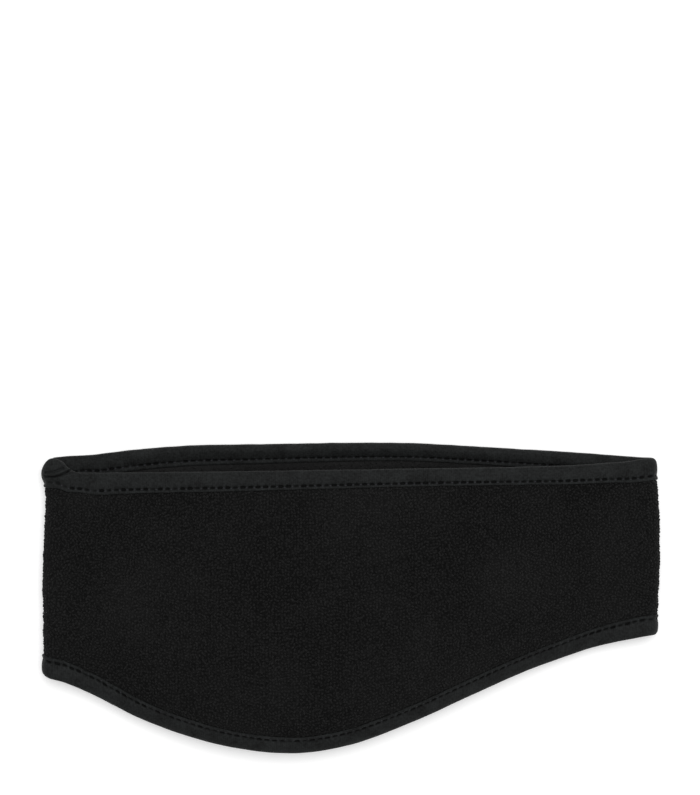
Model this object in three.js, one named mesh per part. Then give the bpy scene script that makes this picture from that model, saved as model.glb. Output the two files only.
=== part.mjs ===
// An ear warmer headband: one closed loop of black pile fleece, deep over the ears and the nape and
// shallower at the forehead, with a knit binding folded over each of its two long edges. It lies on
// its side, so it has an upper layer, a lower layer, a nape fold at -X and a forehead fold at +X.
// The head goes in along Y, and the upper edge is at +Y.

import * as THREE from "three";
import { ParametricGeometry } from "three/addons/geometries/ParametricGeometry.js";

// Driving sizes, in millimetres and degrees
const LOOP_LENGTH = 240; // fold to fold, half of the way round the head
const NAPE_DEPTH = 85.4; // from edge to edge at the nape fold
const EAR_DEPTH = 110.4; // from edge to edge where the band is deepest
const FOREHEAD_DEPTH = 68.8; // from edge to edge at the forehead fold
const WALL = 2.5; // pile fleece
const EDGE_WALL = 1.5; // fleece squeezed inside the binding
const BINDING_WIDTH = 7.9; // from the binding's fold to its sewn edge
const BINDING_CLOTH = 0.9;
const BINDING_CROWN = 0.15; // how far the binding swells above its sewn edge
const CLEARANCE = 0.3; // between the binding and the fleece inside it
const FOLD_GAP = 7; // air inside a fold, between the two layers
const ARCH_RISE = 9; // how much higher the upper layer stands in the middle than at the folds
const RIM_SAG = 5.9; // how far the upper layer has slid down, away from the rim line
const RIM_LIFT = 5.3; // how far the lower layer has slid up
const CURL_REACH = 16; // the lower layer turns up along this much of its rim
const CURL_ANGLE = 34;
const DROOP_REACH = 25; // the upper layer turns down along this much of its cut edge
const DROOP_ANGLE = 40;
const FOLD_TUCK = 1.9; // how far the bindings draw a fold in
const NAPE_PUFF = 3.6; // how much wider the top binding puffs up round the nape fold, and a little at the other
const NAPE_CORNER = 3.3; // how far that puff is rounded off at the fold
const CUT_CORNER = 1; // how far the cut edge is rounded off at the same fold
const CORNER_POWER = 5; // keeps both roundings close to the fold
const FLEECE_COLOUR = "#181818";
const BINDING_COLOUR = "#212121";

// The cut of the lower edge: along from the nape fold as a share of the loop's length, ear as a
// share of the way from the depth at that fold to the ear's depth
const CUT = [
  { along: 0, ear: 0 },
  { along: 0.068, ear: 0.023 },
  { along: 0.109, ear: 0.19 },
  { along: 0.15, ear: 0.382 },
  { along: 0.23, ear: 0.686 },
  { along: 0.31, ear: 0.897 },
  { along: 0.393, ear: 1 },
  { along: 0.5, ear: 0.931 },
  { along: 0.6, ear: 0.726 },
  { along: 0.7, ear: 0.482 },
  { along: 0.8, ear: 0.256 },
  { along: 0.9, ear: 0.089 },
  { along: 1, ear: 0 },
];

// How the upper layer lies: rim and cut as shares of the rim's sag, at its two edges, droop as a
// share of the droop's angle. The rim drops in a short tuck beside the nape fold.
const UPPER_LAYER = [
  { along: 0, rim: 0, cut: 0, droop: 0 },
  { along: 0.027, rim: 0.22, cut: 0.25, droop: 0.1 },
  { along: 0.036, rim: 0.58, cut: 0.4, droop: 0.15 },
  { along: 0.049, rim: 0.9, cut: 0.6, droop: 0.22 },
  { along: 0.065, rim: 0.95, cut: 0.82, droop: 0.32 },
  { along: 0.125, rim: 0.93, cut: 1, droop: 0.55 },
  { along: 0.255, rim: 0.86, cut: 0.94, droop: 0.85 },
  { along: 0.42, rim: 0.76, cut: 0.84, droop: 1 },
  { along: 0.645, rim: 0.62, cut: 0.69, droop: 0.95 },
  { along: 0.79, rim: 0.54, cut: 0.52, droop: 0.85 },
  { along: 0.86, rim: 0.465, cut: 0.42, droop: 0.75 },
  { along: 0.91, rim: 0.35, cut: 0.25, droop: 0.55 },
  { along: 0.955, rim: 0.23, cut: 0.15, droop: 0.25 },
  { along: 1, rim: 0, cut: 0, droop: 0 },
];

// How the lower layer lies: lift as a share of the rim's lift, and of the curl's angle
const LOWER_LAYER = [
  { along: 0, lift: 0 },
  { along: 0.028, lift: 0.09 },
  { along: 0.068, lift: 0.185 },
  { along: 0.15, lift: 0.58 },
  { along: 0.231, lift: 0.83 },
  { along: 0.353, lift: 0.925 },
  { along: 0.45, lift: 0.99 },
  { along: 0.596, lift: 0.995 },
  { along: 0.718, lift: 0.745 },
  { along: 0.84, lift: 0.45 },
  { along: 0.92, lift: 0.23 },
  { along: 0.962, lift: 0.08 },
  { along: 1, lift: 0 },
];

// How far each fold is drawn in, down from the rim as a share of the depth, as shares of the tuck
const FOLD_LINES = [
  { down: 0, nape: 0.35, forehead: 1 },
  { down: 0.19, nape: 0.75, forehead: 0.4 },
  { down: 0.4, nape: 0.35, forehead: 0 },
  { down: 0.6, nape: 0.15, forehead: 0.05 },
  { down: 0.8, nape: 0.3, forehead: 0.3 },
  { down: 1, nape: 0.35, forehead: 0.75 },
];

// How much of its puff the top binding has
const PUFF = [
  { along: 0, puff: 1 },
  { along: 0.011, puff: 1 },
  { along: 0.029, puff: 0.89 },
  { along: 0.041, puff: 0.33 },
  { along: 0.053, puff: 0 },
  { along: 0.08, puff: 0.2 },
  { along: 0.127, puff: 0.1 },
  { along: 0.176, puff: 0.05 },
  { along: 0.23, puff: 0 },
  { along: 0.93, puff: 0 },
  { along: 0.97, puff: 0.2 },
  { along: 1, puff: 0.25 },
];

// Soft dents in the upper layer: along and wide as shares of the loop's length, down and long as
// shares of the depth there, deep as a share of the wall
const DENTS = [
  { along: 0.36, down: 0.82, wide: 0.1, long: 0.14, deep: 0.5 },
  { along: 0.51, down: 0.92, wide: 0.05, long: 0.12, deep: 0.3 },
  { along: 0.14, down: 0.5, wide: 0.06, long: 0.35, deep: 0.35 },
  { along: 0.87, down: 0.45, wide: 0.05, long: 0.3, deep: 0.3 },
];

// Half of the binding's outer face, from its sewn edge round to its fold: down as a share of its
// width, out as a share of its half thickness. The second row is the sewn line, drawn in by thread.
const BINDING_FACE = [
  { down: 1, out: 0.88 },
  { down: 0.79, out: 0.82 },
  { down: 0.55, out: 0.98 },
  { down: 0.26, out: 1 },
  { down: 0.06, out: 0.72 },
  { down: 0, out: 0.3 },
];

// Sections round the loop, closer together where the cloth turns more: turn 0 to 1 is the upper
// layer, 1 to 2 the forehead fold, 2 to 3 the lower layer, 3 to 4 the nape fold
const SECTIONS = [
  { from: 0, to: 0.08, steps: 8 },
  { from: 0.08, to: 1, steps: 28 },
  { from: 1, to: 2, steps: 7 },
  { from: 2, to: 3, steps: 32 },
  { from: 3, to: 4, steps: 8 },
];
const BAND_ROWS = 8; // rows of the fleece between its two bindings

const foldRadius = (FOLD_GAP + WALL) / 2;
const foldReach = (LOOP_LENGTH - WALL) / 2;
const halfLayer = foldReach - foldRadius;
const curlAngle = THREE.MathUtils.degToRad(CURL_ANGLE);
const droopAngle = THREE.MathUtils.degToRad(DROOP_ANGLE);
const bindingInside = EDGE_WALL / 2 + CLEARANCE;
const bindingHalf = bindingInside + BINDING_CLOTH + BINDING_CROWN;
const { smoothstep, clamp, lerp } = THREE.MathUtils;

// A smooth curve through one column of a table, level at both ends
function curveThrough(rows, place, column) {
  const curve = new THREE.CubicInterpolant(
    rows.map((row) => row[place]),
    rows.map((row) => row[column]),
    1,
  );
  curve.settings = { endingStart: THREE.ZeroSlopeEnding, endingEnd: THREE.ZeroSlopeEnding };
  return (at) => curve.evaluate(at)[0];
}

const earShare = curveThrough(CUT, "along", "ear");
const rimSagShare = curveThrough(UPPER_LAYER, "along", "rim");
const cutSagShare = curveThrough(UPPER_LAYER, "along", "cut");
const droopShare = curveThrough(UPPER_LAYER, "along", "droop");
const liftShare = curveThrough(LOWER_LAYER, "along", "lift");
const napeTuck = curveThrough(FOLD_LINES, "down", "nape");
const foreheadTuck = curveThrough(FOLD_LINES, "down", "forehead");
const puffShare = curveThrough(PUFF, "along", "puff");
const earAlong = CUT.find((row) => row.ear === 1).along;

// How far the rounding of an edge's corner has come: 1 at the nape fold's outermost line
function cornerAt(x) {
  return Math.max(0, (-x - halfLayer) / foldRadius) ** CORNER_POWER;
}

// Depth of the cloth from edge to edge
function depthAt(along) {
  const foldDepth = along < earAlong ? NAPE_DEPTH : FOREHEAD_DEPTH;
  return lerp(foldDepth, EAR_DEPTH, earShare(along)) - CUT_CORNER * cornerAt((2 * along - 1) * foldReach);
}

// Depth of all dents at one place
function dentAt(along, downShare) {
  return DENTS.reduce((sum, dent) => {
    const beside = (along - dent.along) / dent.wide;
    const below = (downShare - dent.down) / dent.long;
    return sum + WALL * dent.deep * Math.exp(-(beside ** 2) - below ** 2);
  }, 0);
}

// The loop seen along Y: two level layers joined by two half circles
function loopAt(turn) {
  const leg = Math.floor(turn) % 4;
  const part = turn - Math.floor(turn);
  if (leg === 0) return { x: halfLayer * (2 * part - 1), z: 2 * foldRadius, under: 0 };
  if (leg === 2) return { x: halfLayer * (1 - 2 * part), z: 0, under: 1 };
  const side = leg === 1 ? 1 : -1;
  const lean = side * Math.cos(Math.PI * part);
  return {
    x: side * (halfLayer + foldRadius * Math.sin(Math.PI * part)),
    z: foldRadius * (1 + lean),
    under: (1 - lean) / 2,
  };
}

// An arc that turns by an angle along its reach: how far it runs on, and how far it leaves the level
function bend(distance, reach, angle) {
  const turned = (angle * distance) / reach;
  if (Math.abs(turned) < 1e-6) return { run: distance, rise: 0 };
  const radius = distance / turned;
  return { run: radius * Math.sin(turned), rise: radius * (1 - Math.cos(turned)) };
}

// A point of the wall's middle: turn says where round the loop, down how far from the upper edge
function wallMiddle(turn, down, target = new THREE.Vector3()) {
  const { x, z, under } = loopAt(turn);
  const along = (x / foldReach + 1) / 2;
  const upper = z >= foldRadius;
  const depth = depthAt(along);
  const tuck = (x > 0 ? foreheadTuck : napeTuck)(down / depth);

  const sagShare = lerp(rimSagShare(along), cutSagShare(along), smoothstep(down / depth, 0, 0.6));
  const slide = upper ? -RIM_SAG * sagShare : RIM_LIFT * liftShare(along);
  const curl = upper ? 0 : curlAngle * liftShare(along);
  const droop = upper ? droopAngle * droopShare(along) : 0;
  const curled = bend(CURL_REACH, CURL_REACH, curl);
  const curlHere = bend(Math.max(CURL_REACH - down, 0), CURL_REACH, curl);
  const droopHere = bend(Math.max(down - depth + DROOP_REACH, 0), DROOP_REACH, droop);
  const level = clamp(down, CURL_REACH, depth - DROOP_REACH) - CURL_REACH;
  const arch = upper ? ARCH_RISE * (1 - Math.cos(Math.PI * along) ** 4) : 0;

  const fromEdge = Math.min(down, depth - down);
  const inBinding = 1 - smoothstep(fromEdge, 1.5 * BINDING_WIDTH, 2.1 * BINDING_WIDTH);
  const stood = under * inBinding * (bindingHalf - WALL / 2);
  const dented = (1 - under) * dentAt(along, down / depth);
  return target.set(
    x * (1 - (FOLD_TUCK * tuck) / foldReach),
    slide - curled.run + curlHere.run - level - droopHere.run,
    z + arch + curlHere.rise - droopHere.rise + stood - dented,
  );
}

// A point that lies out from the wall's middle, square to it
const STEP = 0.02;
const across = new THREE.Vector3();
const around = new THREE.Vector3();
const back = new THREE.Vector3();
function wallPoint(turn, down, out, target) {
  const turnStep = STEP / 10;
  wallMiddle(turn + turnStep, down, around).sub(wallMiddle((turn + 4 - turnStep) % 4, down, back));
  wallMiddle(turn, down + STEP, across).sub(wallMiddle(turn, down - STEP, back));
  across.cross(around).normalize();
  return wallMiddle(turn, down, target).addScaledVector(across, out);
}

// How much longer a length square to a slanting edge is when it is measured down the cloth
function slantOf(turn, edge) {
  const turnStep = STEP / 10;
  const before = (turn + 4 - turnStep) % 4;
  const after = turn + turnStep;
  const along = wallMiddle(after, edge(after)).sub(wallMiddle(before, edge(before))).normalize();
  const down = wallMiddle(turn, edge(turn) + STEP).sub(wallMiddle(turn, edge(turn))).normalize();
  return 1 / along.cross(down).length();
}

// The two edges of the cloth: how far down each is, and how far down the cloth one millimetre of
// its binding's section goes. The cut edge's binding goes up from it, so its stretch is negative.
const alongAt = (turn) => (loopAt(turn).x / foldReach + 1) / 2;
const rim = {
  edge: (turn) => NAPE_CORNER * cornerAt(loopAt(turn).x),
  stretch: (turn) => 1 + (NAPE_PUFF * puffShare(alongAt(turn)) - rim.edge(turn)) / BINDING_WIDTH,
};
const cut = {
  edge: (turn) => depthAt(alongAt(turn)),
  stretch: (turn) => -slantOf(turn, cut.edge),
};

// The fleece wall: its outer face from the cut edge up to the rim, then its inner face down again
function bandSection(turn) {
  const hiddenAt = ({ edge, stretch }) =>
    [BINDING_CLOTH + CLEARANCE, BINDING_WIDTH * 0.55, BINDING_WIDTH].map((down) => ({
      down: edge(turn) + down * stretch(turn),
      out: EDGE_WALL / 2,
    }));
  const hiddenRim = hiddenAt(rim);
  const hiddenCut = hiddenAt(cut);
  const bevel = CLEARANCE + (WALL - EDGE_WALL) / 2;
  const top = hiddenRim.at(-1).down + bevel;
  const bottom = hiddenCut.at(-1).down - bevel * slantOf(turn, cut.edge);
  const open = Array.from({ length: BAND_ROWS + 1 }, (_, row) => ({
    down: lerp(top, bottom, row / BAND_ROWS),
    out: WALL / 2,
  }));
  const face = [...hiddenRim, ...open, ...hiddenCut.reverse()];
  return [...face.toReversed(), ...face.map(({ down, out }) => ({ down, out: -out }))];
}

// The binding: its outer face from one sewn edge over the fold to the other, then its inner face
function bindingSection(turn, { edge, stretch }) {
  const face = BINDING_FACE.map(({ down, out }) => ({
    down: down * BINDING_WIDTH,
    out: out * bindingHalf,
  }));
  const lining = [BINDING_WIDTH, BINDING_WIDTH * 0.55, BINDING_CLOTH].map((down) => ({
    down,
    out: bindingInside,
  }));
  const mirrored = ({ down, out }) => ({ down, out: -out });
  const section = [
    ...face,
    ...face.toReversed().map(mirrored),
    ...lining.map(mirrored),
    ...lining.toReversed(),
  ];
  const here = stretch(turn);
  return section.map(({ down, out }) => ({
    down: edge(turn) + down * here,
    out: out * Math.sign(here),
  }));
}

// Turns of all sections, from 0 to 4
const turns = SECTIONS.flatMap(({ from, to, steps }) =>
  Array.from({ length: steps }, (_, step) => lerp(from, to, step / steps)),
);
turns.push(4);

// Sweeps a closed section round the closed loop
function sweepRoundLoop(sectionAt) {
  const sections = turns.map((turn) => sectionAt(turn % 4));
  const points = sections[0].length;
  const surface = (u, v, target) => {
    const column = Math.round(u * (turns.length - 1));
    const row = Math.round(v * points) % points;
    const { down, out } = sections[column][row];
    wallPoint(turns[column] % 4, down, out, target);
  };
  return new ParametricGeometry(surface, turns.length - 1, points);
}

function pieceOf(name, sectionAt, colour, roughness) {
  const material = new THREE.MeshStandardMaterial({ color: colour, roughness, metalness: 0 });
  const piece = new THREE.Mesh(sweepRoundLoop(sectionAt), material);
  piece.name = name;
  return piece;
}

const headband = new THREE.Group();
headband.add(
  pieceOf("band", bandSection, FLEECE_COLOUR, 0.95),
  pieceOf("top_binding", (turn) => bindingSection(turn, rim), BINDING_COLOUR, 0.85),
  pieceOf("bottom_binding", (turn) => bindingSection(turn, cut), BINDING_COLOUR, 0.85),
);

// The origin is under the middle of the headband, on the surface that it lies on
const box = new THREE.Box3().setFromObject(headband, true);
const middle = box.getCenter(new THREE.Vector3());
headband.position.set(-middle.x, -middle.y, -box.min.z);

export default headband;
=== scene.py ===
"""An ear warmer headband of black polar fleece, lying flat on a white table and seen from above."""

import math

import bpy
import numpy as np
from mathutils import Matrix, Vector


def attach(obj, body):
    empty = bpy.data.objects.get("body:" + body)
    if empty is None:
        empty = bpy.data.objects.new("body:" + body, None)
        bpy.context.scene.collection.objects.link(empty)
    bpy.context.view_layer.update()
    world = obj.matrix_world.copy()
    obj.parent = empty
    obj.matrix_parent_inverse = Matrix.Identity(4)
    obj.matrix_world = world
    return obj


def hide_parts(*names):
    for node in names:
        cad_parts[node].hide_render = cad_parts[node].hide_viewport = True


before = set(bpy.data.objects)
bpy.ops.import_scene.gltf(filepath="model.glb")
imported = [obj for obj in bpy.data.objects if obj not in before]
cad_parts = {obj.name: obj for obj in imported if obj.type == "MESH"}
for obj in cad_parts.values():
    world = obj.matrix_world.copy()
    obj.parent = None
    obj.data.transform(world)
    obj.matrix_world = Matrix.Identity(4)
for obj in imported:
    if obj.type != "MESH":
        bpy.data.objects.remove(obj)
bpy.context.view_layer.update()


# The band is one strip of polar fleece, a polyester knit that is brushed to a short curly pile on both
# faces. It is cut deep over the ears and the nape and shallow at the forehead, and sewn to a loop. It
# lies on its side, and its upper layer has slid down a little over the lower one.
LOOP_LENGTH = 240.0  # all in millimetres and degrees; this one from fold to fold
NAPE_DEPTH = 85.4
EAR_DEPTH = 110.4
FOREHEAD_DEPTH = 68.8
WALL = 2.5
EDGE_WALL = 1.5  # squeezed inside the binding
BINDING_WIDTH = 7.9
BOTTOM_WIDER = 1.04  # the bottom binding's share of that width
BINDING_CLOTH = 0.9
BINDING_CROWN = 0.15
CLEARANCE = 0.3
FOLD_GAP = 7.0
ARCH_RISE = 9.0
RIM_SAG = 5.9
RIM_LIFT = 5.3
CURL_REACH = 16.0
CURL_ANGLE = 34.0
DROOP_REACH = 25.0
DROOP_ANGLE = 40.0
FOLD_TUCK = 1.9
NAPE_PUFF = 3.6
NAPE_CORNER = 3.3
CUT_CORNER = 1.0
CORNER_POWER = 5
FOLD_RADIUS = (FOLD_GAP + WALL) / 2
FOLD_REACH = (LOOP_LENGTH - WALL) / 2
HALF_LAYER = FOLD_REACH - FOLD_RADIUS
BINDING_INSIDE = EDGE_WALL / 2 + CLEARANCE
BINDING_HALF = BINDING_INSIDE + BINDING_CLOTH + BINDING_CROWN

# The cut of the lower edge: along the loop from the nape fold, and the share of the ear's depth
CUT = [
    (0, 0), (0.068, 0.023), (0.109, 0.19), (0.15, 0.382), (0.23, 0.686), (0.31, 0.897), (0.393, 1),
    (0.5, 0.931), (0.6, 0.726), (0.7, 0.482), (0.8, 0.256), (0.9, 0.089), (1, 0),
]

# How the upper layer lies: along, the sag of its rim, the sag of its cut edge, and its droop
UPPER_LAYER = [
    (0, 0, 0, 0), (0.027, 0.22, 0.25, 0.1), (0.036, 0.58, 0.4, 0.15), (0.049, 0.9, 0.6, 0.22),
    (0.065, 0.95, 0.82, 0.32), (0.125, 0.93, 1, 0.55), (0.255, 0.86, 0.94, 0.85), (0.42, 0.76, 0.84, 1),
    (0.645, 0.62, 0.69, 0.95), (0.79, 0.54, 0.52, 0.85), (0.86, 0.465, 0.42, 0.75),
    (0.91, 0.35, 0.25, 0.55), (0.955, 0.23, 0.15, 0.25), (1, 0, 0, 0),
]

# How the lower layer lies: along, and its lift and curl
LOWER_LAYER = [
    (0, 0), (0.028, 0.09), (0.068, 0.185), (0.15, 0.58), (0.231, 0.83), (0.353, 0.925), (0.45, 0.99),
    (0.596, 0.995), (0.718, 0.745), (0.84, 0.45), (0.92, 0.23), (0.962, 0.08), (1, 0),
]

# How far the folds are drawn in: down from the rim, at the nape, and at the forehead
FOLD_LINES = [
    (0, 0.35, 1), (0.19, 0.75, 0.4), (0.4, 0.35, 0), (0.6, 0.15, 0.05), (0.8, 0.3, 0.3), (1, 0.35, 0.75),
]

# How much of its puff the top binding has, most at the nape: along, puff
PUFF = [
    (0, 1), (0.011, 1), (0.029, 0.89), (0.041, 0.33), (0.053, 0), (0.08, 0.2), (0.127, 0.1),
    (0.176, 0.05), (0.23, 0), (0.93, 0), (0.97, 0.2), (1, 0.25),
]

# Soft dents in the upper layer: along, down, wide, long, deep
DENTS = [
    (0.36, 0.82, 0.1, 0.14, 0.5), (0.51, 0.92, 0.05, 0.12, 0.3),
    (0.14, 0.5, 0.06, 0.35, 0.35), (0.87, 0.45, 0.05, 0.3, 0.3),
]


def curve_through(rows, column):
    """A smooth curve through one column of a table against its first, level at both ends."""
    table = np.array(rows, float)
    places, values = table[:, 0], table[:, column]
    secants = np.diff(values) / np.diff(places)
    slopes = np.concatenate([[0.0], (secants[1:] + secants[:-1]) / 2, [0.0]])

    def at(place):
        row = np.clip(np.searchsorted(places, place, side="right") - 1, 0, len(places) - 2)
        span = places[row + 1] - places[row]
        part = np.clip((place - places[row]) / span, 0.0, 1.0)
        rest = 1.0 - part
        ends = values[row] * (1 + 2 * part) * rest**2 + values[row + 1] * (1 + 2 * rest) * part**2
        return ends + span * part * rest * (slopes[row] * rest - slopes[row + 1] * part)

    return at


ear_share = curve_through(CUT, 1)
rim_sag = curve_through(UPPER_LAYER, 1)
cut_sag = curve_through(UPPER_LAYER, 2)
droop_share = curve_through(UPPER_LAYER, 3)
lift_share = curve_through(LOWER_LAYER, 1)
nape_tuck = curve_through(FOLD_LINES, 1)
forehead_tuck = curve_through(FOLD_LINES, 2)
puff_share = curve_through(PUFF, 1)
ear_along = next(along for along, ear in CUT if ear == 1)


def smooth_step(value, low, high):
    """0 up to low, 1 from high, and smooth between them."""
    part = np.clip((value - low) / (high - low), 0.0, 1.0)
    return part * part * (3 - 2 * part)


def loop_at(turn):
    """The loop seen along Y: x, z and how far under, for turns 0 to 4 round both layers and both folds."""
    leg = np.floor(turn).astype(int) % 4
    part = turn - np.floor(turn)
    side = np.where(leg == 1, 1.0, -1.0)
    lean = side * np.cos(np.pi * part)
    in_fold = side * (HALF_LAYER + FOLD_RADIUS * np.sin(np.pi * part))
    x = np.select([leg == 0, leg == 2], [HALF_LAYER * (2 * part - 1), HALF_LAYER * (1 - 2 * part)], in_fold)
    z = np.select([leg == 0, leg == 2], [2 * FOLD_RADIUS, 0.0], FOLD_RADIUS * (1 + lean))
    under = np.select([leg == 0, leg == 2], [0.0, 1.0], (1 - lean) / 2)
    return x, z, under


def along_at(turn):
    """0 at the nape fold, 1 at the forehead fold."""
    return (loop_at(turn)[0] / FOLD_REACH + 1) / 2


def corner_at(turn):
    """How far the rounding of an edge's corner has come: 1 at the nape fold's outermost line."""
    return np.maximum((-loop_at(turn)[0] - HALF_LAYER) / FOLD_RADIUS, 0) ** CORNER_POWER


def depth_at(turn):
    """Depth of the cloth from edge to edge."""
    along = along_at(turn)
    fold_depth = np.where(along < ear_along, NAPE_DEPTH, FOREHEAD_DEPTH)
    return fold_depth + (EAR_DEPTH - fold_depth) * ear_share(along) - CUT_CORNER * corner_at(turn)


def bend(distance, reach, angle):
    """An arc that turns by an angle along its reach: how far it runs on, and how far it leaves the level."""
    turned = np.maximum(angle * distance / reach, 1e-6)
    radius = distance / turned
    return radius * np.sin(turned), radius * (1 - np.cos(turned))


def wall_middle(turn, down):
    """A point of the wall's middle: where round the loop, and how far down from the upper edge."""
    x, z, under = loop_at(turn)
    along = (x / FOLD_REACH + 1) / 2
    upper = z >= FOLD_RADIUS
    depth = depth_at(turn)
    down_share = down / depth
    tuck = np.where(x > 0, forehead_tuck(down_share), nape_tuck(down_share))

    sag = rim_sag(along) + (cut_sag(along) - rim_sag(along)) * smooth_step(down_share, 0, 0.6)
    slide = np.where(upper, -RIM_SAG * sag, RIM_LIFT * lift_share(along))
    curl = np.where(upper, 0.0, math.radians(CURL_ANGLE) * lift_share(along))
    droop = np.where(upper, math.radians(DROOP_ANGLE) * droop_share(along), 0.0)
    curled_run, _ = bend(CURL_REACH, CURL_REACH, curl)
    curl_run, curl_rise = bend(np.maximum(CURL_REACH - down, 0), CURL_REACH, curl)
    droop_run, droop_rise = bend(np.maximum(down - depth + DROOP_REACH, 0), DROOP_REACH, droop)
    level = np.clip(down, CURL_REACH, depth - DROOP_REACH) - CURL_REACH
    arch = np.where(upper, ARCH_RISE * (1 - np.cos(np.pi * along) ** 4), 0.0)

    from_edge = np.minimum(down, depth - down)
    in_binding = 1 - smooth_step(from_edge, 1.5 * BINDING_WIDTH, 2.1 * BINDING_WIDTH)
    stood = under * in_binding * (BINDING_HALF - WALL / 2)
    dents = sum(
        WALL * deep * np.exp(-(((along - at) / wide) ** 2) - ((down_share - low) / long) ** 2)
        for at, low, wide, long, deep in DENTS
    )
    return np.stack(
        [
            x * (1 - FOLD_TUCK * tuck / FOLD_REACH),
            slide - curled_run + curl_run - level - droop_run,
            z + arch + curl_rise - droop_rise + stood - (1 - under) * dents,
        ],
        axis=-1,
    )


def wall_point(turn, down, out):
    """A point that lies out from the wall's middle, square to it, and the direction out."""
    turn_step, step = 0.002, 0.02
    around = wall_middle((turn + turn_step) % 4, down) - wall_middle((turn - turn_step) % 4, down)
    across = wall_middle(turn, down + step) - wall_middle(turn, down - step)
    outward = np.cross(across, around)
    outward /= np.linalg.norm(outward, axis=-1, keepdims=True)
    return wall_middle(turn, down) + outward * np.asarray(out)[..., None], outward


def slant_of(turn, edge):
    """How much longer a length square to a slanting edge is when it is measured down the cloth."""
    turn_step, step = 0.002, 0.02
    before, after = (turn - turn_step) % 4, (turn + turn_step) % 4
    along = wall_middle(after, edge(after)) - wall_middle(before, edge(before))
    down = wall_middle(turn, edge(turn) + step) - wall_middle(turn, edge(turn))
    lengths = np.linalg.norm(along, axis=-1) * np.linalg.norm(down, axis=-1)
    return lengths / np.linalg.norm(np.cross(along, down), axis=-1)


def rim_edge(turn):
    """How far down the cloth the rim is: 0, but for its rounded corner at the nape fold."""
    return NAPE_CORNER * corner_at(turn)


def rim_stretch(turn):
    """How far down the cloth one millimetre of the top binding's section goes."""
    return 1 + (NAPE_PUFF * puff_share(along_at(turn)) - rim_edge(turn)) / BINDING_WIDTH


def cut_stretch(turn):
    """The same for the bottom binding, which goes up from the cut edge."""
    return -BOTTOM_WIDER * slant_of(turn, depth_at)


def even_turns(line_down, count):
    """Turns spaced evenly along a line of the cloth once round the loop, and the line's length."""
    turns = np.linspace(0, 4, 4001)
    line = wall_middle(turns % 4, line_down(turns % 4))
    lengths = np.concatenate([[0], np.cumsum(np.linalg.norm(np.diff(line, axis=0), axis=-1))])
    return np.interp(np.linspace(0, lengths[-1], count + 1), lengths, turns), lengths[-1]


# The origin is under the middle of the headband, on the table
every_turn = np.linspace(0, 4, 801) % 4
outline = np.concatenate(
    [wall_point(every_turn, down, out)[0] for down, out in (
        (rim_edge(every_turn), 0.5), (every_turn * 0 + 20, WALL / 2),
        (depth_at(every_turn) / 2, WALL / 2), (depth_at(every_turn), 0.5),
    )]
)
middle = (outline.min(axis=0) + outline.max(axis=0)) / 2
ORIGIN = np.array([middle[0], middle[1], -WALL / 2])
MM = 0.001


def rolled_sheet(name, columns, rows, place):
    """A grid primitive rolled into a closed loop with a closed section. Place gives each vertex its
    point in millimetres from its place round the loop and its row of the section."""
    bpy.ops.object.select_all(action="DESELECT")
    bpy.ops.mesh.primitive_grid_add(x_subdivisions=columns, y_subdivisions=rows, size=1.0)
    piece = bpy.context.object
    piece.name = piece.data.name = name
    flat = np.empty(len(piece.data.vertices) * 3)
    piece.data.vertices.foreach_get("co", flat)
    flat = flat.reshape(-1, 3) + 0.5
    points = (place(flat[:, 0], np.rint(flat[:, 1] * rows).astype(int) % rows) - ORIGIN) * MM
    points[:, 2] = np.maximum(points[:, 2], 0.0)
    piece.data.vertices.foreach_set("co", points.ravel())
    return piece


def close_seams(piece):
    """Merges the grid's meeting edges and turns its faces outwards."""
    bpy.ops.object.mode_set(mode="EDIT")
    bpy.ops.mesh.select_all(action="SELECT")
    bpy.ops.mesh.remove_doubles(threshold=1e-6)
    bpy.ops.mesh.normals_make_consistent(inside=False)
    bpy.ops.object.mode_set(mode="OBJECT")
    bpy.ops.object.shade_smooth()


BAND_COLUMNS = 420
OUTER_ROWS = 72
INNER_ROWS = 36
SEWN_EDGE = 7.85  # how far down the bindings reach
BEVEL = 0.35  # where the fleece swells up beside a binding
OPENING = 30  # the pile stands quite open a thirtieth of the way from one binding to the other
INSIDE_PAINTED_LIGHT = 0.75  # painted light: the tip and shade values that make the bare fleece inside the loop lighter


def fleece_face(count):
    """Rows of one face from the rim down: share of the way between the bindings, how far inside the
    binding, how far past it, how far out, and whether the pile is open there."""
    hidden = [BINDING_CLOTH + CLEARANCE, 0.55 * SEWN_EDGE, SEWN_EDGE - 0.1]
    rim = [(0, inside, 0, EDGE_WALL / 2, 0) for inside in hidden]
    rise = [(share, SEWN_EDGE, 0, EDGE_WALL / 2, 1) for share in (0, 1)]
    open_wall = [(share, SEWN_EDGE, BEVEL, WALL / 2, 1) for share in np.linspace(0, 1, count)]
    cut = [(1, inside, 0, EDGE_WALL / 2, 0) for inside in reversed(hidden)]
    return np.array([*rim, rise[0], *open_wall, rise[1], *cut])


outer_face = fleece_face(OUTER_ROWS)[::-1]
inner_face = fleece_face(INNER_ROWS) * [1, 1, 1, -1, 1]
band_rows = np.concatenate([outer_face, inner_face])
band_turns, _ = even_turns(lambda turn: depth_at(turn) / 2, BAND_COLUMNS)
pile_parts = {}


def band_place(around, row):
    """The fleece's points, and which part of the pile each is in."""
    turn = np.interp(around * BAND_COLUMNS, np.arange(BAND_COLUMNS + 1), band_turns) % 4
    share, inside, past, out, is_open = band_rows[row].T
    upper = (turn < 1.5) | (turn > 3.5)
    pile_parts["open pile"] = is_open * np.clip(OPENING * np.minimum(share, 1 - share), 0, 1)
    pile_parts["upper outside"] = is_open * (out > 0) * upper
    pile_parts["lower outside"] = is_open * (out > 0) * ~upper
    pile_parts["inside"] = is_open * (out < 0)
    from_rim = rim_edge(turn) + inside * rim_stretch(turn) + past
    from_cut = depth_at(turn) + (inside + past) * cut_stretch(turn)
    return wall_point(turn, from_rim + (from_cut - from_rim) * share, out)[0]


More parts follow.
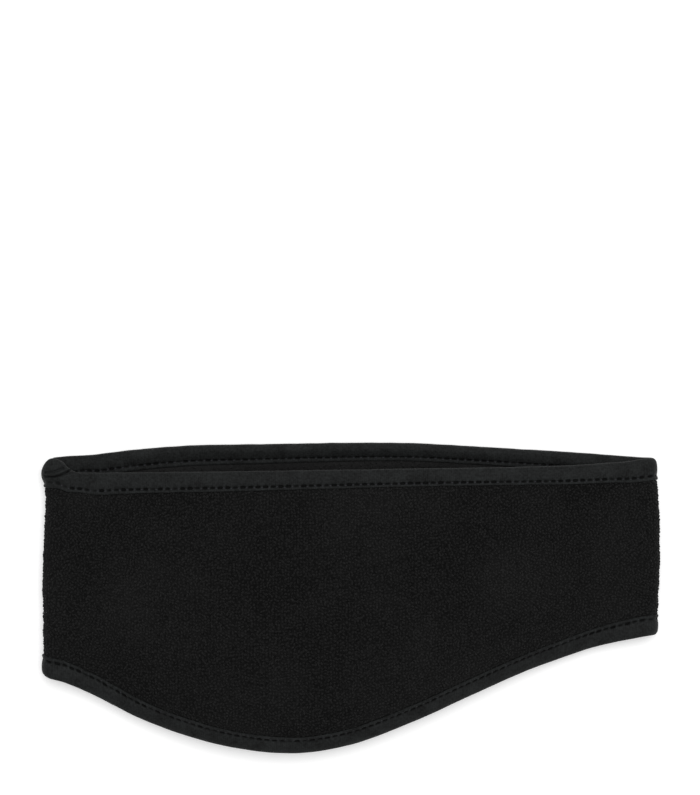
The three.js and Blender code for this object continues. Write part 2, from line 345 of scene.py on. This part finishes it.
band = rolled_sheet("band_fleece", BAND_COLUMNS, len(band_rows), band_place)
for part, weights in pile_parts.items():
    group = band.vertex_groups.new(name=part)
    for weight in np.unique(weights[weights > 0]):
        group.add(np.flatnonzero(weights == weight).tolist(), float(weight), "REPLACE")
# The fleece inside the loop is painted lighter through these attributes: painted light where the inside of
# the loop lies in shade.
for shade_name in ("tip_light", "shade"):
    inside_light = band.data.attributes.new(shade_name, "FLOAT", "POINT")
    inside_light.data.foreach_set("value", (pile_parts["inside"] * INSIDE_PAINTED_LIGHT).astype(np.float32))
close_seams(band)


def displace(piece, name, grain, height, group):
    """Raises and lowers a surface in clouds of that grain and height, both in millimetres."""
    texture = bpy.data.textures.new(name, "CLOUDS")
    texture.noise_scale = grain * MM
    relief = piece.modifiers.new(name, "DISPLACE")
    relief.texture = texture
    relief.texture_coords = "LOCAL"
    relief.strength = height * MM
    relief.mid_level = 0.5
    relief.vertex_group = group
    bpy.ops.object.select_all(action="DESELECT")
    piece.select_set(True)
    bpy.context.view_layer.objects.active = piece
    bpy.ops.object.modifier_apply(modifier=name)


displace(band, "worn waves of the pile", 9.0, 0.8, "open pile")
displace(band, "lumps of the pile", 2.6, 0.7, "open pile")


SOFTNESS = 0.3  # how far above the table the pressing starts


def flatten(piece):
    """Presses what would go into the table flat on it, softly, as its own weight does."""
    for vertex in piece.data.vertices:
        pressed = vertex.co.z / (SOFTNESS * MM)
        if pressed < 1:
            vertex.co.z = SOFTNESS * MM * math.exp(pressed - 1)


flatten(band)


def colour(code):
    """An sRGB hex colour as a linear one."""
    parts = [int(code[place:place + 2], 16) / 255 for place in (1, 3, 5)]
    linear = [part / 12.92 if part <= 0.04045 else ((part + 0.055) / 1.055) ** 2.4 for part in parts]
    return (*linear, 1.0)


def add_node(tree, kind, settings=(), links=()):
    """Adds one node. Settings are its own properties or constant inputs, and links join its inputs
    to the outputs of other nodes."""
    node = tree.nodes.new(kind)
    for name, value in dict(settings).items():
        if isinstance(name, str) and hasattr(node, name):
            setattr(node, name, value)
        else:
            node.inputs[name].default_value = value
    for name, output in dict(links).items():
        tree.links.new(output, node.inputs[name])
    return node


def cloth_material(name, roughness, specular, sheen, sheen_roughness):
    """A cloth's material with its shader: matt, with little gloss, and a sheen from loose fibre ends."""
    material = bpy.data.materials.new(name)
    material.use_nodes = True
    shader = material.node_tree.nodes["Principled BSDF"]
    shader.inputs["Roughness"].default_value = roughness
    shader.inputs["Specular IOR Level"].default_value = specular
    shader.inputs["Sheen Weight"].default_value = sheen
    shader.inputs["Sheen Roughness"].default_value = sheen_roughness
    return material, shader


# Polar fleece: polyester knit, brushed and tumbled. The eye sees no threads, only a matt black nap of
# small curls a millimetre or two long, with dark hollows between them and a faint bloom at the edges.
# The darker colour is painted shade, at the foot and ends of each curl and on the fleece between the curls;
# the lighter colour is painted light on the curls' tops.
FLEECE_SHADED_HOLLOW = "#0a0a0a"
FLEECE_LIT_TIP = "#222222"
NAP = 0.9  # millimetres from one lock of fibres to the next
PATCH_SPAN = 32.0  # and from one slow random patch, lighter or darker, to the next
CURL_SHARE = 0.6  # how much the curls and the slow patches change the shade, beside the nap
PATCH_SHARE = 0.45
fleece, fleece_shader = cloth_material("polar fleece, brushed polyester", 1.0, 0.05, 0.04, 0.5)
nodes = fleece.node_tree
fleece_place = add_node(nodes, "ShaderNodeTexCoord").outputs["Object"]
nap = add_node(
    nodes, "ShaderNodeTexNoise",
    {"Scale": 1 / (NAP * MM), "Detail": 3.0, "Roughness": 0.65, "Distortion": 1.2},
    {"Vector": fleece_place},
)
# This attribute paints the curls' tops and the fleece inside the loop lighter: painted light.
tip_light = add_node(nodes, "ShaderNodeAttribute", {"attribute_name": "tip_light"})
shade = add_node(nodes, "ShaderNodeAttribute", {"attribute_name": "shade"})
curl_shade = add_node(
    nodes, "ShaderNodeMath", {"operation": "MULTIPLY"}, {0: tip_light.outputs["Fac"], 1: shade.outputs["Fac"]}
)
pile_height = add_node(
    nodes, "ShaderNodeMath", {"operation": "MULTIPLY_ADD", 1: CURL_SHARE},
    {0: curl_shade.outputs[0], 2: nap.outputs["Fac"]},
)
patchy = add_node(
    nodes, "ShaderNodeTexNoise", {"Scale": 1 / (PATCH_SPAN * MM), "Detail": 3.0}, {"Vector": fleece_place}
)
pile_patched = add_node(
    nodes, "ShaderNodeMath", {"operation": "MULTIPLY_ADD", 1: PATCH_SHARE},
    {0: patchy.outputs["Fac"], 2: pile_height.outputs[0]},
)
pile_level = add_node(
    nodes, "ShaderNodeMapRange", {"From Min": 0.61, "From Max": 1.24}, {"Value": pile_patched.outputs[0]}
)
pile_colour = add_node(
    nodes, "ShaderNodeMix",
    {"data_type": "RGBA", 6: colour(FLEECE_SHADED_HOLLOW), 7: colour(FLEECE_LIT_TIP)},
    {0: pile_level.outputs[0]},
)
nodes.links.new(pile_colour.outputs[2], fleece_shader.inputs["Base Color"])
pile_bump = add_node(
    nodes, "ShaderNodeBump", {"Strength": 1.0, "Distance": 0.2 * MM}, {"Height": nap.outputs["Fac"]}
)
nodes.links.new(pile_bump.outputs[0], fleece_shader.inputs["Normal"])
band.data.materials.clear()
band.data.materials.append(fleece)
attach(band, "root")
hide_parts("band")

# The pile's fibres cling together in curls that lie in all directions. One is modelled, and laid all
# over the open fleece, no nearer to the next one than the real ones are.
CURL_LONG = 1.5
CURL_WIDE = 0.8
CURL_HIGH = 0.5
CURL_LEAN = 0.35  # radians either way
CURL_SMALLEST = 0.75  # of that size
CURL_LARGEST = 1.15
MOST_CURLS = 4e6  # to the square metre
bpy.ops.object.select_all(action="DESELECT")
bpy.ops.mesh.primitive_uv_sphere_add(segments=4, ring_count=3, radius=0.5, rotation=(0, math.pi / 2, 0))
curl = bpy.context.object
curl.name = "curl"
bpy.ops.object.transform_apply(location=True, rotation=True, scale=True)
# These values paint each curl lighter at its top and darker at its foot and ends: painted light and painted
# shade.
tip_lights = []
for vertex in curl.data.vertices:
    end_share = abs(vertex.co.x) / 0.5
    tip_lights.append(max(0.0, 0.5 + vertex.co.z - 0.5 * end_share**2))
    vertex.co.x *= CURL_LONG * MM
    vertex.co.y = (vertex.co.y * CURL_WIDE + 0.25 * end_share**2) * MM
    vertex.co.z = (vertex.co.z * CURL_HIGH + 0.15 - 0.35 * end_share**2) * MM
curl.data.attributes.new("tip_light", "FLOAT", "POINT").data.foreach_set("value", tip_lights)
bpy.ops.object.shade_smooth()


def lay_curls(name, part, apart, dullest, brightest, seed):
    """Lays curls on one part of the fleece, at random but at least so many millimetres apart, each
    with a shade between the dullest and the brightest."""
    piece = band.copy()
    piece.data = band.data.copy()
    piece.name = piece.data.name = name
    bpy.context.scene.collection.objects.link(piece)
    laying = bpy.data.node_groups.new(name, "GeometryNodeTree")
    laying.interface.new_socket("Fleece", in_out="INPUT", socket_type="NodeSocketGeometry")
    laying.interface.new_socket("Curls", in_out="OUTPUT", socket_type="NodeSocketGeometry")
    ground = add_node(laying, "NodeGroupInput")
    here = add_node(laying, "GeometryNodeInputNamedAttribute", {"data_type": "FLOAT", "Name": part})
    roots = add_node(
        laying, "GeometryNodeDistributePointsOnFaces",
        {"distribute_method": "POISSON", "Distance Min": apart * MM, "Density Max": MOST_CURLS,
         "Seed": seed},
        {"Mesh": ground.outputs[0], "Density Factor": here.outputs["Attribute"]},
    )
    spin = add_node(
        laying, "FunctionNodeRandomValue",
        {"data_type": "FLOAT_VECTOR", "Seed": seed,
         0: (-CURL_LEAN, -CURL_LEAN, -math.pi), 1: (CURL_LEAN, CURL_LEAN, math.pi)},
    )
    turned = add_node(
        laying, "FunctionNodeRotateRotation", {"rotation_space": "LOCAL"},
        {"Rotation": roots.outputs["Rotation"], "Rotate By": spin.outputs[0]},
    )
    size = add_node(
        laying, "FunctionNodeRandomValue",
        {"data_type": "FLOAT", 2: CURL_SMALLEST, 3: CURL_LARGEST, "Seed": seed + 1},
    )
    model = add_node(laying, "GeometryNodeObjectInfo", {"Object": curl})
    laid = add_node(
        laying, "GeometryNodeInstanceOnPoints", {},
        {"Points": roots.outputs["Points"], "Instance": model.outputs["Geometry"],
         "Rotation": turned.outputs[0], "Scale": size.outputs[1]},
    )
    shades = add_node(
        laying, "FunctionNodeRandomValue",
        {"data_type": "FLOAT", 2: dullest, 3: brightest, "Seed": seed + 2},
    )
    shaded = add_node(
        laying, "GeometryNodeStoreNamedAttribute",
        {"data_type": "FLOAT", "domain": "INSTANCE", "Name": "shade"},
        {"Geometry": laid.outputs[0], "Value": shades.outputs[1]},
    )
    joined = add_node(laying, "GeometryNodeRealizeInstances", {}, {"Geometry": shaded.outputs[0]})
    add_node(laying, "NodeGroupOutput", {}, {0: joined.outputs[0]})
    piece.modifiers.new(name, "NODES").node_group = laying
    bpy.ops.object.select_all(action="DESELECT")
    piece.select_set(True)
    bpy.context.view_layer.objects.active = piece
    bpy.ops.object.modifier_apply(modifier=name)
    piece.vertex_groups.clear()
    flatten(piece)
    piece.data.materials.clear()
    piece.data.materials.append(fleece)
    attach(piece, "root")
    return piece


piles = [
    lay_curls("pile_of_upper_layer", "upper outside", 1.0, 0.45, 0.95, 11),
    lay_curls("pile_of_lower_layer", "lower outside", 1.0, 0.45, 0.95, 23),
    # the curls inside the loop get brighter shades than those outside: painted light
    lay_curls("pile_inside", "inside", 1.6, 0.6, 1.1, 37),
]
bpy.data.objects.remove(curl)


# Each binding is a strip of fine knit, polyester with elastane, folded over the fleece's edge and sewn
# through both sides in one seam. It makes a soft roll above the seam, which the thread draws in.
STITCH_PITCH = 2.9
COLUMNS_A_STITCH = 8
TOP_SEAM = 6.3  # from the binding's fold to its needle holes, outside
BOTTOM_SEAM = 6.8
SEAM_INSIDE = 0.5  # how much nearer to the fold they are inside
SEAM_GROOVE = 5.8  # where the section below has its groove
PIT_DEEP = 0.8  # of a needle hole, as its width is
PIT_LONG = 0.66  # share of the pitch
PIT_WIDE = 0.38
PUFF_SWELL = 0.4
PUFF_SHALLOWER = 0.6  # how much the puff takes from a pit's depth
PUFF_UNDER = 0.7  # how far round under the fold the puff goes
PUCKER = 0.06
ROLL_SWAY = 0.16
EDGE_SWAY = 0.12
FOLD_SWAY = 0.1

# Half of the binding's section from its lining over its sewn edge to the fold: down and out
BINDING_SECTION = [
    (7.55, 1.06), (7.79, 1.2), (7.85, 1.45), (7.7, 1.72), (7.25, 1.88), (6.6, 1.82), (5.85, 1.62),
    (5.1, 1.78), (4.2, 2.0), (3.2, 2.1), (2.2, 2.1), (1.2, 1.92), (0.5, 1.5), (0.12, 0.9), (0, 0.3),
]
SEAM_ENDS = 8  # the row of it that the closer rows, for the needle holes, go up to
SEAM_ROWS = 13
ROLL_ROWS = 10
LINING = [(7.2, -1.05), (5.1, -1.05), (0.9, -1.05), (0.9, 1.05), (5.1, 1.05), (7.2, 1.05)]


def binding_rows():
    """Rows of the closed section: down and out."""
    half = np.array(BINDING_SECTION)
    run = np.concatenate([[0], np.cumsum(np.linalg.norm(np.diff(half, axis=0), axis=-1))])
    seam_end = run[SEAM_ENDS]
    at = np.concatenate([
        np.linspace(0, seam_end, SEAM_ROWS, endpoint=False),
        np.linspace(seam_end, run[-1], ROLL_ROWS),
    ])
    table = np.column_stack([run, half])
    face = np.column_stack([curve_through(table, 1)(at), curve_through(table, 2)(at)])
    return np.concatenate([face, face[::-1] * [1, -1], np.array(LINING)])


section = binding_rows()
outside_rows = 2 * (SEAM_ROWS + ROLL_ROWS)


def seam_line(edge, stretch, seam):
    """How far down the cloth a line of a binding is, where seam is its distance from the fold."""
    return lambda turn: edge(turn) + seam * stretch(turn)


def binding_piece(name, edge, stretch, seam, seed):
    """Sweeps the section along one edge of the band, with a pit at each needle hole."""
    stitches = round(even_turns(seam_line(edge, stretch, seam), 8)[1] / STITCH_PITCH)
    columns = stitches * COLUMNS_A_STITCH
    turns, _ = even_turns(seam_line(edge, stretch, seam), columns)
    chance = np.random.default_rng(seed)
    waves = [(count, chance.uniform(0, 2 * np.pi, 3)) for count in (11, 17, 29, 43, 61)]
    drawn = chance.uniform(0.4, 1.15, stitches)  # how deep each needle hole is drawn in
    pit_shades = []

    def place(around, row):
        """The binding's points, and how deep in a pit each is."""
        turn = np.interp(around * columns, np.arange(columns + 1), turns) % 4
        down, out = section[row].T
        side = np.sign(out)
        seam_here = seam - SEAM_INSIDE * (side < 0)
        past_groove = (down - SEAM_GROOVE) / (SEWN_EDGE - SEAM_GROOVE) * (SEWN_EDGE - seam_here)
        down = np.where(down < SEAM_GROOVE, down / SEAM_GROOVE * seam_here, seam_here + past_groove)
        shown = (row < outside_rows).astype(float)
        uneven, swell, sway = (
            sum(np.sin(2 * np.pi * count * around + phases[part]) for count, phases in waves) / 5
            for part in range(3)
        )
        phase = (around * stitches) % 1.0
        from_hole = np.minimum(phase, 1 - phase)
        pit = np.exp(-((from_hole / (PIT_LONG / 2)) ** 4)) * np.exp(-(((down - seam_here) / PIT_WIDE) ** 2))
        pucker = np.cos(2 * np.pi * phase) * smooth_step(down, 2.0, seam) * PUCKER
        roll = np.sin(np.pi * np.clip(down / seam, 0, 1)) * ROLL_SWAY * np.where(side > 0, uneven, swell)
        puff = 0.0 if edge is depth_at else puff_share(along_at(turn)) * (loop_at(turn)[2] < PUFF_UNDER)
        pit *= drawn[np.rint(around * stitches).astype(int) % stitches] * (1 - PUFF_SHALLOWER * puff)
        # The lining gets the full pit value, which paints it black: painted shade, as it is seen only down a
        # hole.
        pit_shades.append(np.where(shown > 0, pit, 1.0))  # the lining is seen only down a hole
        puffed = PUFF_SWELL * puff * np.sin(np.pi * np.clip(down / seam, 0, 1)) * (side > 0)
        change = shown * (roll + puffed - pucker - PIT_DEEP * pit)
        edge_sway = EDGE_SWAY * sway * smooth_step(down, seam, BINDING_WIDTH)
        fold_sway = -FOLD_SWAY * uneven * (1 - smooth_step(down, 0, 3.0)) * shown
        here = stretch(turn)
        points, _ = wall_point(
            turn, edge(turn) + (down + edge_sway + fold_sway) * here, (out + side * change) * np.sign(here)
        )
        return points

    piece = rolled_sheet(name, columns, len(section), place)
    piece.data.attributes.new("pit", "FLOAT", "POINT").data.foreach_set("value", pit_shades[0].astype(np.float32))
    close_seams(piece)
    return piece, stitches


top_binding, top_stitches = binding_piece("top_binding_knit", rim_edge, rim_stretch, TOP_SEAM, 3)
bottom_binding, bottom_stitches = binding_piece(
    "bottom_binding_knit", depth_at, cut_stretch, BOTTOM_SEAM, 5
)

# Where the top binding is tucked at the nape corner: points in x and y, how deep and how wide
NAPE_CREASES = [
    (
        [(-118.4, 46.9), (-115.0, 46.9), (-112.6, 47.4), (-110.6, 48.2), (-108.9, 49.2), (-107.4, 50.0)],
        1.5, 0.42,
    ),
    ([(-118.2, 48.5), (-114.5, 48.9), (-111.2, 50.2)], 1.1, 0.38),
]
CREASED_CORNER = (-0.104, 0.0445, 0.008)  # the nape corner lies past these x, y and z in metres


def crease_at(points):
    """How far the creases lower each point."""
    lowered = np.zeros(len(points))
    for line, deep, wide in NAPE_CREASES:
        nearest = np.full(len(points), 1e9)
        for start, end in zip(np.array(line)[:-1], np.array(line)[1:]):
            run = end - start
            part = np.clip(((points[:, :2] - start) @ run) / (run @ run), 0, 1)
            away = np.linalg.norm(points[:, :2] - start - part[:, None] * run, axis=1)
            nearest = np.minimum(nearest, away)
        lowered += deep * np.exp(-((nearest / wide) ** 2))
    return lowered


def crease_corner(piece):
    """Makes the faces of the nape corner finer and presses the creases into its upper side."""
    bpy.ops.object.select_all(action="DESELECT")
    piece.select_set(True)
    bpy.context.view_layer.objects.active = piece
    bpy.ops.object.mode_set(mode="EDIT")
    bpy.ops.mesh.select_all(action="DESELECT")
    bpy.ops.object.mode_set(mode="OBJECT")
    left, far, high = CREASED_CORNER
    for vertex in piece.data.vertices:
        vertex.select = vertex.co.x < left and vertex.co.y > far and vertex.co.z > high
    bpy.ops.object.mode_set(mode="EDIT")
    bpy.ops.mesh.subdivide(number_cuts=2, smoothness=0.6)
    bpy.ops.object.mode_set(mode="OBJECT")
    points = np.array([vertex.co for vertex in piece.data.vertices]) / MM
    faces_up = np.array([vertex.normal.z for vertex in piece.data.vertices]) > 0
    lowered = crease_at(points) * faces_up * (points[:, 2] > high / MM) * MM
    for vertex, drop in zip(piece.data.vertices, lowered):
        vertex.co.z -= drop


crease_corner(top_binding)

# Fine knit: polyester and elastane jersey. It looks smooth and a little lighter and shinier than the
# fleece, with faint ribs across the strip.
KNIT_LOW = "#090909"
KNIT_HIGH = "#262828"
RIBS = 640  # round the loop, every 0.76 mm; the real ones are half as wide, too fine to show
CLOUDY_SHARE = 0.6  # how much slow changes of the shade count beside the yarn's
knit, knit_shader = cloth_material("fine knit, polyester and elastane", 0.75, 0.12, 0.03, 0.35)
nodes = knit.node_tree
knit_place = add_node(nodes, "ShaderNodeTexCoord")
ribs = add_node(
    nodes, "ShaderNodeTexWave",
    {"wave_type": "BANDS", "bands_direction": "X", "Scale": RIBS * math.pi / 10, "Distortion": 0.0},
    {"Vector": knit_place.outputs["UV"]},
)
yarn = add_node(
    nodes, "ShaderNodeTexNoise", {"Scale": 1 / (0.8 * MM), "Detail": 2.0},
    {"Vector": knit_place.outputs["Object"]},
)
cloudy = add_node(
    nodes, "ShaderNodeTexNoise", {"Scale": 1 / (6.0 * MM), "Detail": 3.0},
    {"Vector": knit_place.outputs["Object"]},
)
knit_height = add_node(
    nodes, "ShaderNodeMix", {"data_type": "FLOAT", 0: 0.9},
    {2: ribs.outputs["Fac"], 3: yarn.outputs["Fac"]},
)
knit_mixed = add_node(
    nodes, "ShaderNodeMath", {"operation": "MULTIPLY_ADD", 1: CLOUDY_SHARE},
    {0: cloudy.outputs["Fac"], 2: knit_height.outputs[0]},
)
knit_level = add_node(
    nodes, "ShaderNodeMapRange", {"From Min": 0.5, "From Max": 1.2}, {"Value": knit_mixed.outputs[0]}
)
knit_colour = add_node(
    nodes, "ShaderNodeMix", {"data_type": "RGBA", 6: colour(KNIT_LOW), 7: colour(KNIT_HIGH)},
    {0: knit_level.outputs[0]},
)
# The needle holes are painted darker towards black as deep as they are drawn in, and the lining black:
# painted shade down the holes.
pit_here = add_node(nodes, "ShaderNodeAttribute", {"attribute_name": "pit"})
pit_shade = add_node(
    nodes, "ShaderNodeMapRange", {"From Min": 0.05, "From Max": 0.45}, {"Value": pit_here.outputs["Fac"]}
)
knit_shaded = add_node(
    nodes, "ShaderNodeMix", {"data_type": "RGBA", 7: colour("#000000")},
    {0: pit_shade.outputs[0], 6: knit_colour.outputs[2]},
)
nodes.links.new(knit_shaded.outputs[2], knit_shader.inputs["Base Color"])
knit_bump = add_node(
    nodes, "ShaderNodeBump", {"Strength": 0.6, "Distance": 0.2 * MM}, {"Height": knit_height.outputs[0]}
)
nodes.links.new(knit_bump.outputs[0], knit_shader.inputs["Normal"])
for binding, node in ((top_binding, "top_binding"), (bottom_binding, "bottom_binding")):
    binding.data.materials.clear()
    binding.data.materials.append(knit)
    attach(binding, "root")
    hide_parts(node)


# The seams are sewn with black spun polyester thread, 2.9 mm a stitch. Each stitch lies on the cloth
# between two needle holes and dives into them, outside and inside the loop.
THREAD = 0.5
SEAM_OUT = 1.57  # from the middle of the fleece
THREAD_DOWN = 0.25  # the thread lies on the lower side of its holes
CREST_UP = 0.14
DIVE_DOWN = 1.5
DIVE_THINNER = 0.4  # how much narrower the thread is down in the hole
UNEVEN = (0.12, 0.1, 0.07)  # how much the stitches differ in lean, shift and lift
thread, thread_shader = cloth_material("spun polyester thread", 0.7, 0.15, 0.0, 0.3)
nodes = thread.node_tree
ply = add_node(
    nodes, "ShaderNodeTexNoise", {"Scale": 1 / (0.3 * MM), "Detail": 1.0},
    {"Vector": add_node(nodes, "ShaderNodeTexCoord").outputs["Object"]},
)
# The thread is coloured lighter than the knit, so its crests show as light dots: partly the thread's own
# tone, partly a painted highlight.
thread_colour = add_node(
    nodes, "ShaderNodeMix", {"data_type": "RGBA", 6: colour("#18181a"), 7: colour("#343438")},
    {0: ply.outputs["Fac"]},
)
# The thread is painted near black where it dives into the needle holes: painted shade.
dive_shade = add_node(nodes, "ShaderNodeAttribute", {"attribute_name": "pit"})
thread_shaded = add_node(
    nodes, "ShaderNodeMix", {"data_type": "RGBA", 7: colour("#010101")},
    {0: dive_shade.outputs["Fac"], 6: thread_colour.outputs[2]},
)
nodes.links.new(thread_shaded.outputs[2], thread_shader.inputs["Base Color"])
thread_bump = add_node(
    nodes, "ShaderNodeBump", {"Strength": 0.5, "Distance": 0.08 * MM}, {"Height": ply.outputs["Fac"]}
)
nodes.links.new(thread_bump.outputs[0], thread_shader.inputs["Normal"])

bpy.ops.object.select_all(action="DESELECT")
bpy.ops.mesh.primitive_cylinder_add(
    vertices=6, radius=THREAD / 2 * MM, depth=STITCH_PITCH * MM, rotation=(0, math.pi / 2, 0)
)
stitch = bpy.context.object
stitch.name = "stitch"
bpy.ops.object.transform_apply(location=True, rotation=True, scale=True)
bpy.ops.object.mode_set(mode="EDIT")
for share in (0.18, 0.34, 0.44, 0.56, 0.66, 0.82):
    bpy.ops.mesh.select_all(action="SELECT")
    bpy.ops.mesh.bisect(plane_co=((share - 0.5) * STITCH_PITCH * MM, 0, 0), plane_no=(1, 0, 0))
bpy.ops.object.mode_set(mode="OBJECT")
dive_shades = []
for vertex in stitch.data.vertices:
    from_crest = abs(vertex.co.x) / MM
    dive = smooth_step(from_crest, 0.25, 0.95)
    dive_shades.append(float(dive))
    vertex.co.y *= 1 - DIVE_THINNER * dive
    vertex.co.z += (CREST_UP - DIVE_DOWN * dive) * MM
stitch.data.attributes.new("pit", "FLOAT", "POINT").data.foreach_set("value", dive_shades)


def sewn_seam(name, edge, stretch, seam, stitches, side, skew, seed):
    """One row of stitches along a binding, on one face of it, sewn a little unevenly."""
    chance = np.random.default_rng(seed)
    turns, _ = even_turns(seam_line(edge, stretch, seam), stitches)
    start_turn, end_turn = turns[:-1] % 4, turns[1:] % 4
    seam_out = np.full(stitches, side * SEAM_OUT)
    thread_line = seam_line(edge, stretch, seam + THREAD_DOWN)
    start, out = wall_point(start_turn, thread_line(start_turn), seam_out)
    end, out_after = wall_point(end_turn, thread_line(end_turn), seam_out)
    copies = []
    for hole, next_hole, up in zip(start, end, (out + out_after) * side / 2):
        run = Vector(next_hole - hole).normalized()
        across = Vector(up).cross(run).normalized()
        lean, shift, lift = chance.normal(0, UNEVEN)
        place = Matrix((run + across * (skew + lean), across, run.cross(across))).transposed().to_4x4()
        place.translation = Vector(((hole + next_hole) / 2 - ORIGIN + up * lift) * MM) + across * shift * MM
        copy = bpy.data.objects.new(name, stitch.data.copy())
        copy.data.transform(place)
        bpy.context.scene.collection.objects.link(copy)
        copies.append(copy)
    bpy.ops.object.select_all(action="DESELECT")
    for copy in copies:
        copy.select_set(True)
    bpy.context.view_layer.objects.active = copies[0]
    bpy.ops.object.join()
    seam = bpy.context.object
    seam.name = seam.data.name = name
    bpy.ops.object.shade_smooth()
    seam.data.materials.clear()
    seam.data.materials.append(thread)
    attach(seam, "root")
    return seam


top_inside, bottom_inside = TOP_SEAM - SEAM_INSIDE, BOTTOM_SEAM - SEAM_INSIDE
seams = [
    sewn_seam("top_seam_outside", rim_edge, rim_stretch, TOP_SEAM, top_stitches, 1, 0.0, 41),
    sewn_seam("top_seam_inside", rim_edge, rim_stretch, top_inside, top_stitches, -1, 0.2, 43),
    sewn_seam("bottom_seam_outside", depth_at, cut_stretch, BOTTOM_SEAM, bottom_stitches, 1, 0.0, 47),
    sewn_seam("bottom_seam_inside", depth_at, cut_stretch, bottom_inside, bottom_stitches, -1, 0.2, 53),
]
bpy.data.objects.remove(stitch)

# The strip was cut 492 mm long and 110 mm deep, and its shallower nape and forehead save about a sixth
strip_length = even_turns(lambda turn: depth_at(turn) / 2, 8)[1]
strip_area = strip_length * np.mean(depth_at(band_turns % 4)) * MM * MM


# The table is a plain white board under the camera, with a large soft lamp above its far side
bpy.ops.object.select_all(action="DESELECT")
bpy.ops.mesh.primitive_plane_add(size=6.0, location=(0, 0, -0.00015))
table = bpy.context.object
table.name = "white_table"
white = bpy.data.materials.new("matt white board")
white.use_nodes = True
board = white.node_tree.nodes["Principled BSDF"]
board.inputs["Base Color"].default_value = colour("#F4F4F4")
board.inputs["Roughness"].default_value = 0.9
board.inputs["Specular IOR Level"].default_value = 0.1
board.inputs["Emission Color"].default_value = (1, 1, 1, 1)
board.inputs["Emission Strength"].default_value = 0.235
table.data.materials.append(white)

world = bpy.data.worlds.new("white room")
world.use_nodes = True
world.node_tree.nodes["Background"].inputs["Color"].default_value = (1, 1, 1, 1)
world.node_tree.nodes["Background"].inputs["Strength"].default_value = 0.4
bpy.context.scene.world = world


def soft_lamp(name, place, size, power):
    """A square lamp that faces the headband."""
    lamp = bpy.data.lights.new(name, "AREA")
    lamp.shape = "SQUARE"
    lamp.size = size
    lamp.energy = power
    holder = bpy.data.objects.new(name, lamp)
    holder.location = place
    holder.rotation_euler = (-Vector(place)).to_track_quat("-Z", "Y").to_euler()
    bpy.context.scene.collection.objects.link(holder)


soft_lamp("overhead lamp", (0.12, 0.36, 1.6), 1.1, 21.0)

camera_data = bpy.data.cameras.new("copy stand")
camera_data.lens = 100.0
camera_data.sensor_width = 36.0
camera_data.clip_start = 0.01
camera_data.clip_end = 20.0
camera = bpy.data.objects.new("copy stand", camera_data)
camera.location = (-0.0005, 0.0775, 0.8654)
bpy.context.scene.collection.objects.link(camera)
bpy.context.scene.camera = camera

bpy.context.scene.view_settings.view_transform = "Standard"
bpy.context.scene.view_settings.look = "None"
